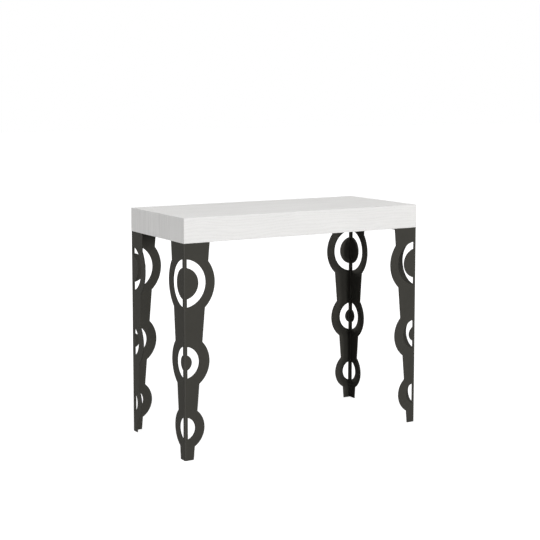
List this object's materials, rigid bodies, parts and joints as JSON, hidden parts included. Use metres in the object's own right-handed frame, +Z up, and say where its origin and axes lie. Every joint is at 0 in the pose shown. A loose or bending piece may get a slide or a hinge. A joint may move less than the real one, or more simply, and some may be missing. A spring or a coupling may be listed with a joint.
{
  "type": "extending console table",
  "caption": "Narrow console table whose two half tops pull apart in depth on telescopic bars, on four folded sheet-steel legs cut with rings and discs.",
  "frame": {"origin": "on the floor, under the middle of the closed top", "axes": "+X along the long side to the right, -Y towards the front, where the front half moves, +Z up"},
  "size_m": [0.9, 0.4, 0.77],
  "materials": {
    "white_board": "white laminate with a fine pressed wood grain, satin",
    "leg_coat": "matt warm dark grey powder coat with a fine texture",
    "bare_aluminium": "extruded and anodised, with faint lines along its length",
    "zinc_steel": "bright zinc plate",
    "raw_pine": "planed and unfinished",
    "beech": "turned and unfinished"
  },
  "bodies": {
    "rear_half": {"rear_top_panel": "white_board", "rear_long_edge": "white_board", "rear_left_end_edge": "white_board", "rear_left_corner_block": "raw_pine", "rear_left_leg": "leg_coat", "rear_left_leg_plate": "leg_coat", "rear_left_rail_bracket": "zinc_steel", "rear_right_end_edge": "white_board", "rear_right_corner_block": "raw_pine", "rear_right_leg": "leg_coat", "rear_right_leg_plate": "leg_coat", "rear_right_rail_bracket": "zinc_steel", "rear_leg_screws": "zinc_steel", "rear_bracket_screws": "zinc_steel", "left_rail_bar_1": "bare_aluminium", "left_catch_plate": "zinc_steel", "left_catch_rivet": "zinc_steel", "right_rail_bar_1": "bare_aluminium", "right_catch_plate": "zinc_steel", "right_catch_rivet": "zinc_steel", "catch_screws": "zinc_steel"},
    "front_half": {"front_top_panel": "white_board", "front_long_edge": "white_board", "front_left_end_edge": "white_board", "front_left_corner_block": "raw_pine", "front_left_leg": "leg_coat", "front_left_leg_plate": "leg_coat", "front_left_rail_bracket": "zinc_steel", "front_right_end_edge": "white_board", "front_right_corner_block": "raw_pine", "front_right_leg": "leg_coat", "front_right_leg_plate": "leg_coat", "front_right_rail_bracket": "zinc_steel", "front_leg_screws": "zinc_steel", "front_bracket_screws": "zinc_steel", "left_rail_bar_7": "bare_aluminium", "left_keeper": "zinc_steel", "right_rail_bar_7": "bare_aluminium", "right_keeper": "zinc_steel", "keeper_screws": "zinc_steel", "alignment_dowels": "beech"},
    "left_bar_2": {"left_rail_bar_2": "bare_aluminium"},
    "left_bar_3": {"left_rail_bar_3": "bare_aluminium"},
    "left_bar_4": {"left_rail_bar_4": "bare_aluminium"},
    "left_bar_5": {"left_rail_bar_5": "bare_aluminium"},
    "left_bar_6": {"left_rail_bar_6": "bare_aluminium"},
    "left_hook": {"left_catch_hook": "zinc_steel"},
    "right_bar_2": {"right_rail_bar_2": "bare_aluminium"},
    "right_bar_3": {"right_rail_bar_3": "bare_aluminium"},
    "right_bar_4": {"right_rail_bar_4": "bare_aluminium"},
    "right_bar_5": {"right_rail_bar_5": "bare_aluminium"},
    "right_bar_6": {"right_rail_bar_6": "bare_aluminium"},
    "right_hook": {"right_catch_hook": "zinc_steel"}
  },
  "joints": [
    {"name": "table_extension", "type": "slide", "parent": "rear_half", "child": "front_half", "axis": [0, -1, 0], "range_m": [0, 1.56]},
    {"name": "left_bar_2_slide", "type": "slide", "parent": "rear_half", "child": "left_bar_2", "axis": [0, -1, 0], "range_m": [0, 0.26]},
    {"name": "left_bar_3_slide", "type": "slide", "parent": "rear_half", "child": "left_bar_3", "axis": [0, -1, 0], "range_m": [0, 0.52]},
    {"name": "left_bar_4_slide", "type": "slide", "parent": "rear_half", "child": "left_bar_4", "axis": [0, -1, 0], "range_m": [0, 0.78]},
    {"name": "left_bar_5_slide", "type": "slide", "parent": "rear_half", "child": "left_bar_5", "axis": [0, -1, 0], "range_m": [0, 1.04]},
    {"name": "left_bar_6_slide", "type": "slide", "parent": "rear_half", "child": "left_bar_6", "axis": [0, -1, 0], "range_m": [0, 1.3]},
    {"name": "right_bar_2_slide", "type": "slide", "parent": "rear_half", "child": "right_bar_2", "axis": [0, -1, 0], "range_m": [0, 0.26]},
    {"name": "right_bar_3_slide", "type": "slide", "parent": "rear_half", "child": "right_bar_3", "axis": [0, -1, 0], "range_m": [0, 0.52]},
    {"name": "right_bar_4_slide", "type": "slide", "parent": "rear_half", "child": "right_bar_4", "axis": [0, -1, 0], "range_m": [0, 0.78]},
    {"name": "right_bar_5_slide", "type": "slide", "parent": "rear_half", "child": "right_bar_5", "axis": [0, -1, 0], "range_m": [0, 1.04]},
    {"name": "right_bar_6_slide", "type": "slide", "parent": "rear_half", "child": "right_bar_6", "axis": [0, -1, 0], "range_m": [0, 1.3]},
    {"name": "left_hook_swing", "type": "hinge", "parent": "rear_half", "child": "left_hook", "pos_m": [-0.12, 0.02715, 0.748], "axis": [0, 0, -1], "range_deg": [0, 90]},
    {"name": "right_hook_swing", "type": "hinge", "parent": "rear_half", "child": "right_hook", "pos_m": [0.12, 0.02715, 0.748], "axis": [0, 0, 1], "range_deg": [0, 90]}
  ],
  "couplings": [
    {"joint": "left_bar_2_slide", "follows": "table_extension", "ratio": 0.16667},
    {"joint": "left_bar_3_slide", "follows": "table_extension", "ratio": 0.33333},
    {"joint": "left_bar_4_slide", "follows": "table_extension", "ratio": 0.5},
    {"joint": "left_bar_5_slide", "follows": "table_extension", "ratio": 0.66667},
    {"joint": "left_bar_6_slide", "follows": "table_extension", "ratio": 0.83333},
    {"joint": "right_bar_2_slide", "follows": "table_extension", "ratio": 0.16667},
    {"joint": "right_bar_3_slide", "follows": "table_extension", "ratio": 0.33333},
    {"joint": "right_bar_4_slide", "follows": "table_extension", "ratio": 0.5},
    {"joint": "right_bar_5_slide", "follows": "table_extension", "ratio": 0.66667},
    {"joint": "right_bar_6_slide", "follows": "table_extension", "ratio": 0.83333}
  ]
}
